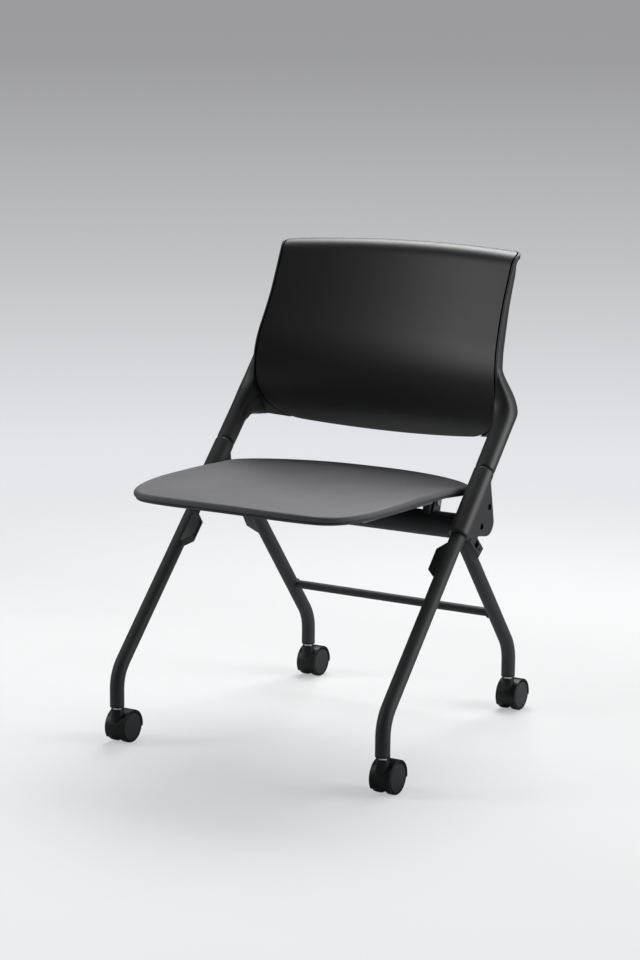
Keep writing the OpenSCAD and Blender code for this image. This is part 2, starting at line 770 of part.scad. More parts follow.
module seat_under_shell() {
    top = shell_t + body_gap;
    rim_low = shell_t + seat_groove + under_t;
    color(black) difference() {
        loft(concat(
            [for (f = dish_ring_share) seat_ring(f, blend(dish_t, shell_t, f) + body_gap)],
            [seat_ring(inset(seat_groove_in), top),
                seat_ring(inset(seat_groove_in), shell_t + seat_groove),
                seat_ring(inset(under_in), shell_t + seat_groove),
                seat_ring(inset(under_in), rim_low - under_t / 3),
                under_ring(inset(under_in + under_t / 2), rim_low)],
            [for (i = [len(dish_ring_share) - 1 : -1 : 0])
                under_ring(dish_ring_share[i], rim_low)]));
        for (side = [0, 1]) mirror([side, 0, 0])
            for (y = [seat_screw_front, seat_screw_rear]) translate([hinge_x, y, pad_z - cut])
                cylinder(d = seat_screw_d + 2 * fit, h = seat_screw_bite + cut + fit);
    }
}

// Back: lean and place of the profile at s, measured up the panel from its crest
function lean_at(s) = s < 0 ? s / low_r * 180 / PI
    : s < lumbar_len ? s / lumbar_r * 180 / PI
    : s < roll_start ? back_lean
    : back_lean + (s - roll_start) / roll_r * 180 / PI;
function arc_at(r, a) = r * [1 - cos(a), sin(a)];
function profile_at(s) = let(a = lean_at(s)) [crest_y, crest_z]
    + (s < 0 ? arc_at(low_r, a) : s < lumbar_len ? arc_at(lumbar_r, a)
    : arc_at(lumbar_r, back_lean) + (min(s, roll_start) - lumbar_len)
        * [sin(back_lean), cos(back_lean)]
        + (s < roll_start ? [0, 0] : arc_at(roll_r, a) - arc_at(roll_r, back_lean)));

// Half width of the panel at s
function back_half(s) =
    blend(back_w_low, back_w_top, ease((s - taper_from) / (taper_to - taper_from))) / 2
    + top_flare * ease((s - roll_start) / roll_len);
// Point at x and s, n behind the panel's front face
function back_at(x, s, n) = let(a = lean_at(s), p = profile_at(s))
    [x, p[0] + back_bow * (1 - pow(x / (back_w_low / 2), 2)) + n * cos(a), p[1] - n * sin(a)];
function corner_rise(x, half, r) = x > half - r ? r - sqrt(max(0, r * r - pow(x - half + r, 2))) : 0;

// Height s of the sheet's lower and upper edge at share t of its width, grown by g
function panel_low(t, g) = low_rise * t * t - low_end - g
    + corner_rise(abs(t) * (back_w_low / 2 + g), back_w_low / 2 + g, low_corner_r + g);
function shell_low_edge(t) = shell_rise * t * t - low_end + shell_short
    + corner_rise(abs(t) * (back_w_low / 2 + rail_lip), back_w_low / 2 + rail_lip,
        shell_corner_r);
function sheet_top(t, g) = let(half = back_w_top / 2 + top_flare + g)
    back_top + g - corner_rise(abs(t) * half, half, top_corner_r + g);

back_col_share = [for (k = [-back_cols : back_cols]) sin(90 * k / back_cols)];

function panel_grid(g, n) = [for (r = back_row_share) [for (t = back_col_share)
    let(s = blend(panel_low(t, g), sheet_top(t, g), r)) back_at(t * (back_half(s) + g), s, n)]];

// Depth of the frame behind the panel's front face at share t and height s
function frame_depth(t, s) = let(
    mid = panel_t + body_gap + shell_mid,
    low = max(mid, rail_d - (s < 0 ? profile_at(s)[0] - crest_y : 0)),
    rail = blend(low, rim_d, ease((s - lumbar_len) / back_run)),
    side = ease((abs(t) - rail_from_share) / (rail_full_share - rail_from_share)),
    top = ease((s - back_top + rim_zone) / rim_ease))
    blend(mid, rail, max(side, top));
function shell_grid(deep) = [for (r = back_row_share) [for (t = back_col_share)
    let(s = blend(shell_low_edge(t), sheet_top(t, rail_lip), r))
    back_at(t * (back_half(s) + rail_lip), s, deep ? frame_depth(t, s) : shell_front)]];

// Ring round an arm: its middle, its half sizes, its tilt and how square it is
function arm_ring(mid, half, tilt, e) = [for (k = [0 : arm_sides - 1])
    let(a = 360 * k / arm_sides, q = half[1] * power(sin(a), e))
    [mid[0] + half[0] * power(cos(a), e), mid[1] + q * cos(tilt), mid[2] - q * sin(tilt)]];

// Ring at height z on the way from the round arm to the rail
function arm_at(z) = let(
    axis = (z - front_knee) * tan(front_lean) - front_reach,
    reach = sleeve_d / 2 / cos(front_lean),
    s = z - crest_z,
    edge = profile_at(s)[0],
    half = back_half(s),
    up = (z - arm_turn) / (arm_rail - arm_turn),
    y1 = min(axis - reach, edge + arm_front_set),
    y2 = min(axis + reach, blend(elbow_y, edge + rail_d - arm_front_set, ease(up - arm_lag_share))),
    x1 = blend(front_x - sleeve_d / 2, half - arm_inner_set, ease(up + arm_lag_share)),
    x2 = blend(front_x + sleeve_d / 2, half + rail_lip - arm_front_set / 4, ease(up)))
    arm_ring([(x1 + x2) / 2, (y1 + y2) / 2, z], [(x2 - x1) / 2, (y2 - y1) / 2], 0,
        blend(1, arm_square_share, ease(up + arm_lag_share)));

module arm() {
    start = front_leg_at(hub_rise + hub_len + joint_gap);
    round_half = [sleeve_d / 2, sleeve_d / 2];
    loft(concat([arm_ring([front_x, start[0], start[1]], round_half, front_lean, 1)],
        [for (h = arm_share) arm_at(blend(arm_turn, arm_rail, h))]));
}

// Web between the right arm and the shell's corner, hollowed to a round below
module arm_gusset() {
    down = [cos(front_lean), -sin(front_lean)];
    root = front_leg_at(gusset_at) + gusset_side * down;
    foot = front_leg_at(gusset_at - gusset_foot) + gusset_side * down;
    feet = corner_feet(foot, root, gusset_tail, gusset_r);
    across(back_w_low / 2 + rail_lip - gusset_t / 2, gusset_t) difference() {
        polygon([front_leg_at(gusset_at - gusset_foot), feet[0], feet[1], gusset_tail, gusset_top,
            front_leg_at(gusset_at + gusset_foot)]);
        translate(corner_mid(foot, root, gusset_tail, gusset_r)) circle(gusset_r);
    }
}

module back_frame() {
    color(black) difference() {
        union() {
            slab(shell_grid(false), shell_grid(true));
            for (side = [0, 1]) mirror([side, 0, 0]) {
                arm();
                arm_gusset();
            }
        }
        slab(panel_grid(panel_gap, -rail_d), panel_grid(panel_gap, panel_t + body_gap));
        for (side = [0, 1]) mirror([side, 0, 0]) {
            in_front_leg(hub_rise) cylinder(d = tube_d + 2 * fit, h = leg_top - hub_rise + cut);
            in_front_leg(hub_rise + hub_len + arm_screw_rise) rotate([-90, 0, 0])
                cylinder(d = arm_screw_d + 2 * fit, h = sleeve_d);
            back_screw_place() {
                cylinder(d = back_screw_d + 2 * fit, h = rail_d);
                translate([0, 0, panel_t + shell_mid - back_screw_d])
                    cylinder(d = 2 * back_screw_d + 2 * fit, h = rail_d);
            }
        }
    }
}

// Places a child at both back screws of the right half, z pointing back
module back_screw_place() {
    for (s = [back_screw_low, back_screw_high])
        translate(back_at(back_screw_x, s, 0)) rotate([-90 - lean_at(s), 0, 0]) children();
}

module back_panel() {
    color(black) difference() {
        slab(panel_grid(0, 0), panel_grid(0, panel_t));
        for (side = [0, 1]) mirror([side, 0, 0]) back_screw_place()
            translate([0, 0, panel_t - back_screw_bite])
                cylinder(d = back_screw_d + 2 * fit, h = rail_d);
    }
}

module back_screws() {
    head = panel_t + shell_mid - back_screw_d;
    color(rubber) for (side = [0, 1]) mirror([side, 0, 0]) back_screw_place() {
        translate([0, 0, panel_t - back_screw_bite + fit])
            cylinder(d = back_screw_d, h = head - panel_t + back_screw_bite);
        translate([0, 0, head]) cylinder(d = 2 * back_screw_d, h = back_screw_d / 2);
    }
}

module arm_screws() {
    color(rubber) for (side = [0, 1]) mirror([side, 0, 0])
        in_front_leg(hub_rise + hub_len + arm_screw_rise) rotate([-90, 0, 0])
            translate([0, 0, bore_d / 2 - pad_bite])
                cylinder(d = arm_screw_d, h = sleeve_d / 2 - bore_d / 2 + pad_bite - joint_gap);
}

left() front_leg();  // front_leg_left
front_leg();  // front_leg_right
left() rear_leg();  // rear_leg_left
rear_leg();  // rear_leg_right
rear_crossbar();
seat_beam();
left() mount_plate();  // mount_plate_left
mount_plate();  // mount_plate_right
left() hub();  // hub_left
hub();  // hub_right
hub_screws();
left() front_bumper();  // front_bumper_left
front_bumper();  // front_bumper_right
left() rear_bumper();  // rear_bumper_left
rear_bumper();  // rear_bumper_right
bumper_screws();
at_castor("fl") castor_socket();  // socket_fl
at_castor("fr") castor_socket();  // socket_fr
at_castor("rl") castor_socket();  // socket_rl
at_castor("rr") castor_socket();  // socket_rr
back_frame();
back_panel();
back_screws();
arm_screws();
left() hinge_ears();  // hinge_ears_left
hinge_ears();  // hinge_ears_right
left() hinge_pin();  // hinge_pin_left
hinge_pin();  // hinge_pin_right
seat_shell();
seat_under_shell();
left() carrier();  // carrier_left
carrier();  // carrier_right
seat_screws();
stop_pads();
at_castor("fl") castor_hood();  // hood_fl
at_castor("fr") castor_hood();  // hood_fr
at_castor("rl") castor_hood();  // hood_rl
at_castor("rr") castor_hood();  // hood_rr
at_castor("fl") castor_stem();  // stem_fl
at_castor("fr") castor_stem();  // stem_fr
at_castor("rl") castor_stem();  // stem_rl
at_castor("rr") castor_stem();  // stem_rr
at_castor("fl") castor_axle();  // axle_fl
at_castor("fr") castor_axle();  // axle_fr
at_castor("rl") castor_axle();  // axle_rl
at_castor("rr") castor_axle();  // axle_rr
at_castor("fl") left() castor_wheel();  // wheel_fl_left
at_castor("fl") castor_wheel();  // wheel_fl_right
at_castor("fr") left() castor_wheel();  // wheel_fr_left
at_castor("fr") castor_wheel();  // wheel_fr_right
at_castor("rl") left() castor_wheel();  // wheel_rl_left
at_castor("rl") castor_wheel();  // wheel_rl_right
at_castor("rr") left() castor_wheel();  // wheel_rr_left
at_castor("rr") castor_wheel();  // wheel_rr_right
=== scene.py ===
import json
import math
import bmesh
import bpy
from mathutils import Matrix, Vector


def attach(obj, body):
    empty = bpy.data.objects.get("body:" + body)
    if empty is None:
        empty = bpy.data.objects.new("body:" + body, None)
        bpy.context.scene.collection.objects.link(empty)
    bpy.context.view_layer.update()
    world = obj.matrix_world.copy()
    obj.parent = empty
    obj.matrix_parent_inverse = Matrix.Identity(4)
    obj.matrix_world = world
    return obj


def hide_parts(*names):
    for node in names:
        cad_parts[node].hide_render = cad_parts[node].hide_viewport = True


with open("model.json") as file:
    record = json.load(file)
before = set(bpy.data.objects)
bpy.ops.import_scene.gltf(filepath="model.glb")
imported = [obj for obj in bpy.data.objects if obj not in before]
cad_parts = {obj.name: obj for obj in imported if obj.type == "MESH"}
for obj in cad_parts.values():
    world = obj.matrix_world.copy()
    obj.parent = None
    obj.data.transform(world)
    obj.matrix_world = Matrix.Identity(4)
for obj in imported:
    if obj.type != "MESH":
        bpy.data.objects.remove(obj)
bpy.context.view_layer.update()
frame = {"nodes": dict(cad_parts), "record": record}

MM = 0.001


# Materials

def paint(code):
    """An sRGB hex colour as the linear red, green, blue and alpha that the shaders take."""
    parts = [int(code[i:i + 2], 16) / 255 for i in (1, 3, 5)]
    return [c / 12.92 if c <= 0.04045 else ((c + 0.055) / 1.055) ** 2.4 for c in parts] + [1]


def add(tree, kind, settings=None, inputs=None):
    """Adds a node with its settings, and its inputs as values or as the outputs that feed them."""
    made = tree.nodes.new(kind)
    for name, value in (settings or {}).items():
        setattr(made, name, value)
    for name, value in (inputs or {}).items():
        if isinstance(value, bpy.types.NodeSocket):
            tree.links.new(value, made.inputs[name])
        else:
            made.inputs[name].default_value = value
    return made


def new_material(name):
    material = bpy.data.materials.new(name)
    material.use_nodes = True
    material.node_tree.nodes.clear()
    return material, material.node_tree


def per_metre(size_mm):
    """Noise scale at which one grain of the pattern is about size_mm across."""
    return 1 / (size_mm * MM)


GLOSS_SPREAD = 0.05


def finish_surface(name, dark, light, rough, grain_mm, grain_depth_mm, cloud_mm=60,
                   metallic=0.0, specular=0.5, streak=(1, 1, 1)):
    """A solid finish: two close tones in soft clouds, an uneven gloss and a fine surface grain."""
    material, tree = new_material(name)
    place = add(tree, "ShaderNodeTexCoord").outputs["Object"]
    drawn = add(tree, "ShaderNodeMapping", inputs={"Vector": place, "Scale": streak}).outputs[0]
    cloud = add(tree, "ShaderNodeTexNoise", inputs={
        "Vector": place, "Scale": per_metre(cloud_mm), "Detail": 4.0, "Roughness": 0.6})
    tone = add(tree, "ShaderNodeValToRGB", inputs={"Fac": cloud.outputs["Fac"]})
    tone.color_ramp.elements[0].position = 0.3
    tone.color_ramp.elements[0].color = paint(dark)
    tone.color_ramp.elements[1].position = 0.7
    tone.color_ramp.elements[1].color = paint(light)
    grain = add(tree, "ShaderNodeTexNoise", inputs={
        "Vector": drawn, "Scale": per_metre(grain_mm), "Detail": 2.0, "Roughness": 0.5})
    gloss = add(tree, "ShaderNodeMapRange", inputs={
        "Value": grain.outputs["Fac"], "From Min": 0.3, "From Max": 0.7,
        "To Min": rough - GLOSS_SPREAD, "To Max": rough + GLOSS_SPREAD})
    bump = add(tree, "ShaderNodeBump", inputs={
        "Height": grain.outputs["Fac"], "Strength": 0.5, "Distance": grain_depth_mm * MM})
    shader = add(tree, "ShaderNodeBsdfPrincipled", inputs={
        "Base Color": tone.outputs["Color"], "Roughness": gloss.outputs[0],
        "Normal": bump.outputs[0], "Metallic": metallic, "Specular IOR Level": specular})
    add(tree, "ShaderNodeOutputMaterial", inputs={"Surface": shader.outputs[0]})
    return material


# Glass-filled nylon, injection moulded in a spark-eroded tool: charcoal black with a dull sheen
# and a grain of about 0.9 mm that breaks the highlights up.
frame_nylon = finish_surface("moulded_nylon_charcoal", "#1c1d1e", "#232425", 0.48, 0.9, 0.05)
# Polypropylene, moulded in the same kind of tool with a finer grain: a shade blacker and softer.
back_polypropylene = finish_surface("moulded_polypropylene_black", "#0b0b0b", "#100f0f",
                                    0.42, 0.8, 0.03, cloud_mm=90)
# Polypropylene in mid grey for the seat, with the coarsest grain of the mouldings.
seat_polypropylene = finish_surface("moulded_polypropylene_grey", "#58585a", "#5f5f61",
                                    0.58, 1.0, 0.06, cloud_mm=80, specular=0.32)
# The same in a darker grey for the seat's lower moulding.
under_polypropylene = finish_surface("moulded_polypropylene_under", "#3c3d3f", "#434446",
                                     0.55, 1.0, 0.05)
# Steel tube under a fine-textured powder coat: an orange peel of about 1.5 mm.
powder_coat = finish_surface("powder_coated_steel_charcoal", "#202123", "#27282a",
                             0.6, 1.5, 0.08, cloud_mm=45)
# Steel bar under a light grey satin powder coat.
satin_coat = finish_surface("powder_coated_steel_light", "#8d8f91", "#989a9c", 0.38, 1.5, 0.04)
# Zinc-plated steel, as turned: fine rings from the tool make a streaked gloss.
zinc = finish_surface("zinc_plated_steel_turned", "#c6c9cb", "#d2d4d6", 0.28, 0.6, 0.01,
                      metallic=1.0, streak=(0.1, 0.1, 4))
# Blackened steel screws, with the dry sheen of an oxide finish.
black_oxide = finish_surface("oxide_blackened_steel", "#060607", "#0b0b0c", 0.5, 0.5, 0.02,
                             specular=0.25)
# Natural rubber with a dusty, dead surface.
stop_rubber = finish_surface("moulded_rubber_black", "#17181a", "#1e1f20", 0.8, 0.7, 0.04)
# Soft thermoplastic bumpers, blacker than the frame and with a shallower grain.
bumper_plastic = finish_surface("moulded_elastomer_black", "#101113", "#161719", 0.5, 0.8, 0.03)
# Castor bodies in nylon, straight from a polished tool.
castor_nylon = finish_surface("moulded_nylon_castor", "#08090a", "#0d0e0f", 0.42, 0.8, 0.012,
                              specular=0.3)
# Castor treads and discs in hard nylon, worn a little duller.
wheel_nylon = finish_surface("moulded_nylon_wheel", "#17181b", "#1f2023", 0.44, 0.7, 0.02,
                             specular=0.35)


# Light, floor and camera

def area_light(name, place, aim, size, watts):
    data = bpy.data.lights.new(name, "AREA")
    data.shape = "RECTANGLE"
    data.size, data.size_y = size
    data.energy = watts
    lamp = bpy.data.objects.new(name, data)
    bpy.context.scene.collection.objects.link(lamp)
    lamp.location = place
    lamp.rotation_euler = (Vector(aim) - Vector(place)).to_track_quat("-Z", "Y").to_euler()


area_light("overhead_softbox", (-0.3, 1.3, 2.5), (0, 0.1, 0.4), (1.8, 1.35), 87)
area_light("right_softbox", (2.3, 1.0, 1.1), (0, 0.1, 0.45), (1.6, 1.8), 46)
area_light("left_softbox", (-2.5, -1.7, 1.75), (0, 0.1, 0.7), (0.75, 2.3), 35)

# The backdrop's tone by the sine of the angle above the horizon at which one looks. Only the eye
# sees it. Besides the lamps, what lights the chair and shows in it is the room's even glow.
BACKDROP = [(-0.34, "#f0f1f1"), (-0.25, "#f1f2f4"), (-0.17, "#e3e4e7"), (-0.095, "#c1c2c4"),
            (-0.01, "#9d9d9f"), (0.3, "#868688")]
world = bpy.data.worlds.new("studio")
bpy.context.scene.world = world
world.use_nodes = True
tree = world.node_tree
tree.nodes.clear()
height = add(tree, "ShaderNodeSeparateXYZ", inputs={
    "Vector": add(tree, "ShaderNodeTexCoord").outputs["Generated"]}).outputs["Z"]
LOW, HIGH = BACKDROP[0][0], BACKDROP[-1][0]
share = add(tree, "ShaderNodeMapRange", inputs={"Value": height, "From Min": LOW, "From Max": HIGH})
ramp = add(tree, "ShaderNodeValToRGB", inputs={"Fac": share.outputs[0]})
for i, (sine, code) in enumerate(BACKDROP):
    at = (sine - LOW) / (HIGH - LOW)
    spot = ramp.color_ramp.elements[0] if i == 0 else (
        ramp.color_ramp.elements[-1] if i == len(BACKDROP) - 1
        else ramp.color_ramp.elements.new(at))
    spot.position = at
    spot.color = paint(code)
seen = add(tree, "ShaderNodeBackground", inputs={"Color": ramp.outputs["Color"], "Strength": 1.0})
room = add(tree, "ShaderNodeBackground", inputs={"Color": paint("#f4f6fa"), "Strength": 0.1})
ray = add(tree, "ShaderNodeLightPath")
mixed = add(tree, "ShaderNodeMixShader", inputs={
    0: ray.outputs["Is Camera Ray"], 1: room.outputs[0], 2: seen.outputs[0]})
add(tree, "ShaderNodeOutputWorld", inputs={"Surface": mixed.outputs[0]})

# Sizes of the floor in metres: its radius and the ring in which it fades out
FLOOR_R, FADE_FROM, FADE_TO = 6, 0.8, 2.6
# Share of its own pale glow in the floor that the eye sees
GLOW_SHARE = 0.45
bpy.ops.object.select_all(action="DESELECT")
bpy.ops.mesh.primitive_circle_add(vertices=96, radius=FLOOR_R, fill_type="NGON", location=(0, 0, 0))
floor = bpy.context.object
floor.name = "studio_floor"
# Matt white vinyl floor that fades into the backdrop away from the chair.
vinyl, tree = new_material("matt_vinyl_floor")
place = add(tree, "ShaderNodeTexCoord").outputs["Object"]
away = add(tree, "ShaderNodeVectorMath", {"operation": "LENGTH"}, {0: place}).outputs["Value"]
fade = add(tree, "ShaderNodeMapRange", {"interpolation_type": "SMOOTHSTEP"}, {
    "Value": away, "From Min": FADE_FROM, "From Max": FADE_TO})
mottle = add(tree, "ShaderNodeTexNoise", inputs={
    "Vector": place, "Scale": per_metre(250), "Detail": 3.0})
tone = add(tree, "ShaderNodeValToRGB", inputs={"Fac": mottle.outputs["Fac"]})
tone.color_ramp.elements[0].color = paint("#f1f2f2")
tone.color_ramp.elements[1].color = paint("#f4f5f5")
# The two strongest lamps stand behind the chair, so the floor is evened out from front to rear.
along = add(tree, "ShaderNodeSeparateXYZ", inputs={0: place}).outputs["Y"]
toned = add(tree, "ShaderNodeVectorMath", {"operation": "SCALE"}, {
    0: tone.outputs["Color"], "Scale": add(tree, "ShaderNodeMapRange", inputs={
        "Value": along, "From Min": 0, "From Max": 0.7, "To Min": 1, "To Max": 0.86}).outputs[0]})
matt = add(tree, "ShaderNodeBsdfDiffuse", inputs={"Color": toned.outputs[0], "Roughness": 0.5})
# The eye sees the floor as pale as the photograph's, over the shade that falls on it.
even = add(tree, "ShaderNodeMapRange", inputs={
    "Value": along, "From Min": -1.1, "From Max": 0.5, "To Min": 1.28, "To Max": 0.86})
pale = add(tree, "ShaderNodeEmission", inputs={"Color": paint("#f4f5f6"),
                                               "Strength": even.outputs[0]})
seen_floor = add(tree, "ShaderNodeMixShader", inputs={
    0: GLOW_SHARE, 1: matt.outputs[0], 2: pale.outputs[0]})
# What the chair gets back from the floor is duller, as from a studio that is dark beyond it.
dull = add(tree, "ShaderNodeBsdfDiffuse", inputs={"Color": paint("#bcbdbf"), "Roughness": 0.5})
lit = add(tree, "ShaderNodeMixShader", inputs={
    0: add(tree, "ShaderNodeLightPath").outputs["Is Camera Ray"],
    1: dull.outputs[0], 2: seen_floor.outputs[0]})
clear = add(tree, "ShaderNodeBsdfTransparent")
both = add(tree, "ShaderNodeMixShader", inputs={
    0: fade.outputs[0], 1: lit.outputs[0], 2: clear.outputs[0]})
add(tree, "ShaderNodeOutputMaterial", inputs={"Surface": both.outputs[0]})
floor.data.materials.append(vinyl)

# The photograph's viewpoint, found from the castors, the legs and the chair's symmetry.
eye = bpy.data.cameras.new("photograph_view")
camera = bpy.data.objects.new("photograph_view", eye)
bpy.context.scene.collection.objects.link(camera)
bpy.context.scene.camera = camera
eye.sensor_width = 36
eye.sensor_fit = "AUTO"
eye.lens = 87.857
EYE_PLACE = (2.06238, -3.41906, 1.21030)
YAW, PITCH, ROLL = math.radians(31.331), math.radians(10.776), 0.00758
back = Vector((math.sin(YAW) * math.cos(PITCH), -math.cos(YAW) * math.cos(PITCH), math.sin(PITCH)))
right = Vector((math.cos(YAW), math.sin(YAW), 0))
up = back.cross(right)
right, up = (right * math.cos(ROLL) + up * math.sin(ROLL),
             up * math.cos(ROLL) - right * math.sin(ROLL))
turn = Matrix((right, up, back)).transposed().to_4x4()
camera.matrix_world = Matrix.Translation(EYE_PLACE) @ turn
eye.clip_start, eye.clip_end = 0.1, 50
bpy.context.scene.view_settings.view_transform = "Standard"


# Finishes of the carried-over nodes

LOOKS = {
    "frame_metal": powder_coat, "frame_plastic": frame_nylon, "back_plastic": back_polypropylene,
    "seat_plastic": seat_polypropylene, "under_plastic": under_polypropylene,
    "bumper_plastic": bumper_plastic, "screw_metal": black_oxide, "bright_steel": zinc,
    "carrier_metal": satin_coat, "rubber": stop_rubber, "castor_plastic": castor_nylon,
    "wheel_plastic": wheel_nylon, "socket_plastic": castor_nylon}
SLOTS = {row["node"]: row["material_slot"] for row in frame["record"]["subparts"]}
for node, obj in frame["nodes"].items():
    obj.data.materials.clear()
    obj.data.materials.append(LOOKS[SLOTS[node]])


# The maker's tools

def deselect():
    if bpy.context.mode != "OBJECT":
        bpy.ops.object.mode_set(mode="OBJECT")
    bpy.ops.object.select_all(action="DESELECT")


def hold(obj):
    """Makes obj the one selected, active object."""
    deselect()
    obj.select_set(True)
    bpy.context.view_layer.objects.active = obj


def modify(obj, kind, **settings):
    """Adds a modifier to obj and applies it."""
    hold(obj)
    modifier = obj.modifiers.new(kind.lower(), kind)
    for name, value in settings.items():
        setattr(modifier, name, value)
    bpy.ops.object.modifier_apply(modifier=modifier.name)


def smooth(obj, degrees=35):
    hold(obj)
    bpy.ops.object.shade_smooth_by_angle(angle=math.radians(degrees))


def tidy_normals(obj):
    """Merges doubled corners and turns every face outwards."""
    hold(obj)
    bpy.ops.object.mode_set(mode="EDIT")
    bpy.ops.mesh.select_all(action="SELECT")
    bpy.ops.mesh.remove_doubles(threshold=0.000002)
    bpy.ops.mesh.normals_make_consistent(inside=False)
    bpy.ops.object.mode_set(mode="OBJECT")


def settle(obj, name, material, body, slot, *nodes):
    """Names a finished piece, gives it its finish and its body, and stands it for its nodes."""
    hold(obj)
    bpy.ops.object.transform_apply(location=True, rotation=True, scale=True)
    obj.name = name
    obj.data.name = name
    obj.data.materials.clear()
    obj.data.materials.append(material)
    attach(obj, body)
    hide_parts(*nodes)


def loft(name, rings):
    """Closed solid through rings of points in millimetres, with its two ends drawn to a pole."""
    mesh = bpy.data.meshes.new(name)
    shape = bmesh.new()
    loops = [[shape.verts.new(Vector(p) * MM) for p in ring] for ring in rings]
    count = len(loops[0])
    for low_loop, high_loop in zip(loops, loops[1:]):
        for k in range(count):
            n = (k + 1) % count
            shape.faces.new((low_loop[k], low_loop[n], high_loop[n], high_loop[k]))
    for loop in (loops[0], loops[-1]):
        pole = shape.verts.new(sum((v.co for v in loop), Vector()) / count)
        for k in range(count):
            shape.faces.new((loop[k], loop[(k + 1) % count], pole))
    shape.to_mesh(mesh)
    shape.free()
    obj = bpy.data.objects.new(name, mesh)
    bpy.context.scene.collection.objects.link(obj)
    tidy_normals(obj)
    return obj


def sheet_solid(name, front, rear):
    """Closed solid between two grids of points in millimetres, joined round their edges."""
    mesh = bpy.data.meshes.new(name)
    shape = bmesh.new()
    a = [[shape.verts.new(Vector(p) * MM) for p in row] for row in front]
    b = [[shape.verts.new(Vector(p) * MM) for p in row] for row in rear]
    for grid in (a, b):
        for low_row, high_row in zip(grid, grid[1:]):
            for k in range(len(low_row) - 1):
                shape.faces.new((low_row[k], low_row[k + 1], high_row[k + 1], high_row[k]))
    for edge in (0, -1):
        for k in range(len(a[0]) - 1):
            shape.faces.new((a[edge][k], a[edge][k + 1], b[edge][k + 1], b[edge][k]))
        for k in range(len(a) - 1):
            shape.faces.new((a[k][edge], a[k + 1][edge], b[k + 1][edge], b[k][edge]))
    shape.to_mesh(mesh)
    shape.free()
    obj = bpy.data.objects.new(name, mesh)
    bpy.context.scene.collection.objects.link(obj)
    tidy_normals(obj)
    return obj


def combine(obj, tool, operation):
    """Joins tool to obj, or cuts it away, and removes it."""
    modify(obj, "BOOLEAN", operation=operation, solver="EXACT", object=tool)
    bpy.data.objects.remove(tool)


def ease(h):
    """A soft start and a soft stop between 0 and 1."""
    h = min(1, max(0, h))
    return h * h * (3 - 2 * h)


def blend(a, b, h):
    return a + (b - a) * h


# The back
# Its profile, from the crest of the lumbar curve: two arcs, a straight run and a roll. Sizes are in
# millimetres, and s is the way up the profile from the crest.

CREST_Y, CREST_Z = 141, 626
LOW_R, LUMBAR_R, ROLL_R = 190, 163, 36
LEAN, ROLL_LEAN = math.radians(23.9), math.radians(86)
LUMBAR_LEN, STRAIGHT_LEN = LUMBAR_R * LEAN, 139.7
ROLL_START = LUMBAR_LEN + STRAIGHT_LEN
ROLL_LEN = ROLL_R * (ROLL_LEAN - LEAN)
BACK_TOP = ROLL_START + ROLL_LEN
# The panel's widths, the stretch over which it narrows, and how far its middle lies back
WIDE_LOW, WIDE_TOP, BOW = 490, 468, 33
NARROW_FROM, NARROW_LEN = -26, 176
PANEL_T, PANEL_SHRINK, PANEL_GAP, LIP = 4, -0.7, 2.2, 5.5
# The roll: how far its ends flare and its middle rises, from where, and its corners
FLARE, CROWN, CROWN_LEAD, TOP_CORNER = 5, 6, 60, 20
# The lower edges of the panel and the shell: their drop, rise towards the sides, and corners
PANEL_DROP, PANEL_RISE, PANEL_CORNER = 131, 25, 70
SHELL_DROP, SHELL_RISE, SHELL_CORNER = 126, 19, 6
# The shell's wall behind the panel and the depth of its rails
WALL_GAP, WALL_T, LOW_RAIL, SIDE_RAIL, TOP_RAIL = 0.3, 8, 25, 18, 9
# Where the side rails rise, as shares of half the width, and the top rail, in millimetres
SIDE_FROM_SHARE, SIDE_RISE_SHARE = 0.8, 0.14
TOP_BAND, TOP_RISE, TAPER_LEAD, TAPER_TAIL = 60, 40, 18, 8
# The shell's edges: how far its front lies back, and how it is rounded
FRONT_SET, FRONT_ROUND, REAR_ROUND = 0.8, 1.5, 4


def lean_at(s):
    if s < 0:
        return s / LOW_R
    if s < LUMBAR_LEN:
        return s / LUMBAR_R
    return LEAN + max(0, s - ROLL_START) / ROLL_R


def arc_at(r, a):
    return Vector((r * (1 - math.cos(a)), r * math.sin(a)))


def profile_at(s):
    a, crest = lean_at(s), Vector((CREST_Y, CREST_Z))
    if s < 0:
        return crest + arc_at(LOW_R, a)
    if s < LUMBAR_LEN:
        return crest + arc_at(LUMBAR_R, a)
    run = min(s, ROLL_START) - LUMBAR_LEN
    point = crest + arc_at(LUMBAR_R, LEAN) + run * Vector((math.sin(LEAN), math.cos(LEAN)))
    return point if s < ROLL_START else point + arc_at(ROLL_R, a) - arc_at(ROLL_R, LEAN)


def half_at(s):
    """Half the panel's width at s."""
    return (blend(WIDE_LOW, WIDE_TOP, ease((s - NARROW_FROM) / NARROW_LEN)) / 2
            + FLARE * ease((s - ROLL_START) / ROLL_LEN))


def back_at(x, s, n):
    """The place at x across and s up the panel, n behind its front face."""
    a, p = lean_at(s), profile_at(s)
    rise = ease((s - ROLL_START + CROWN_LEAD) / (ROLL_LEN + CROWN_LEAD))
    crown = CROWN * rise * (1 - (x / (WIDE_TOP / 2)) ** 2)
    return Vector((x, p[0] + BOW * (1 - (x / (WIDE_LOW / 2)) ** 2) + n * math.cos(a),
                   p[1] + crown - n * math.sin(a)))


def corner_rise(x, half, r):
    """How far a corner of radius r has risen at x, for an edge that ends at half."""
    return r - math.sqrt(max(0, r * r - (x - half + r) ** 2)) if x > half - r else 0


def panel_low(t, g):
    half = WIDE_LOW / 2 + g
    corner = corner_rise(abs(t) * half, half, PANEL_CORNER + g)
    return PANEL_RISE * t * t - PANEL_DROP - g + corner


def sheet_top(t, g):
    half = WIDE_TOP / 2 + FLARE + g
    return BACK_TOP + g - corner_rise(abs(t) * half, half, TOP_CORNER + g)


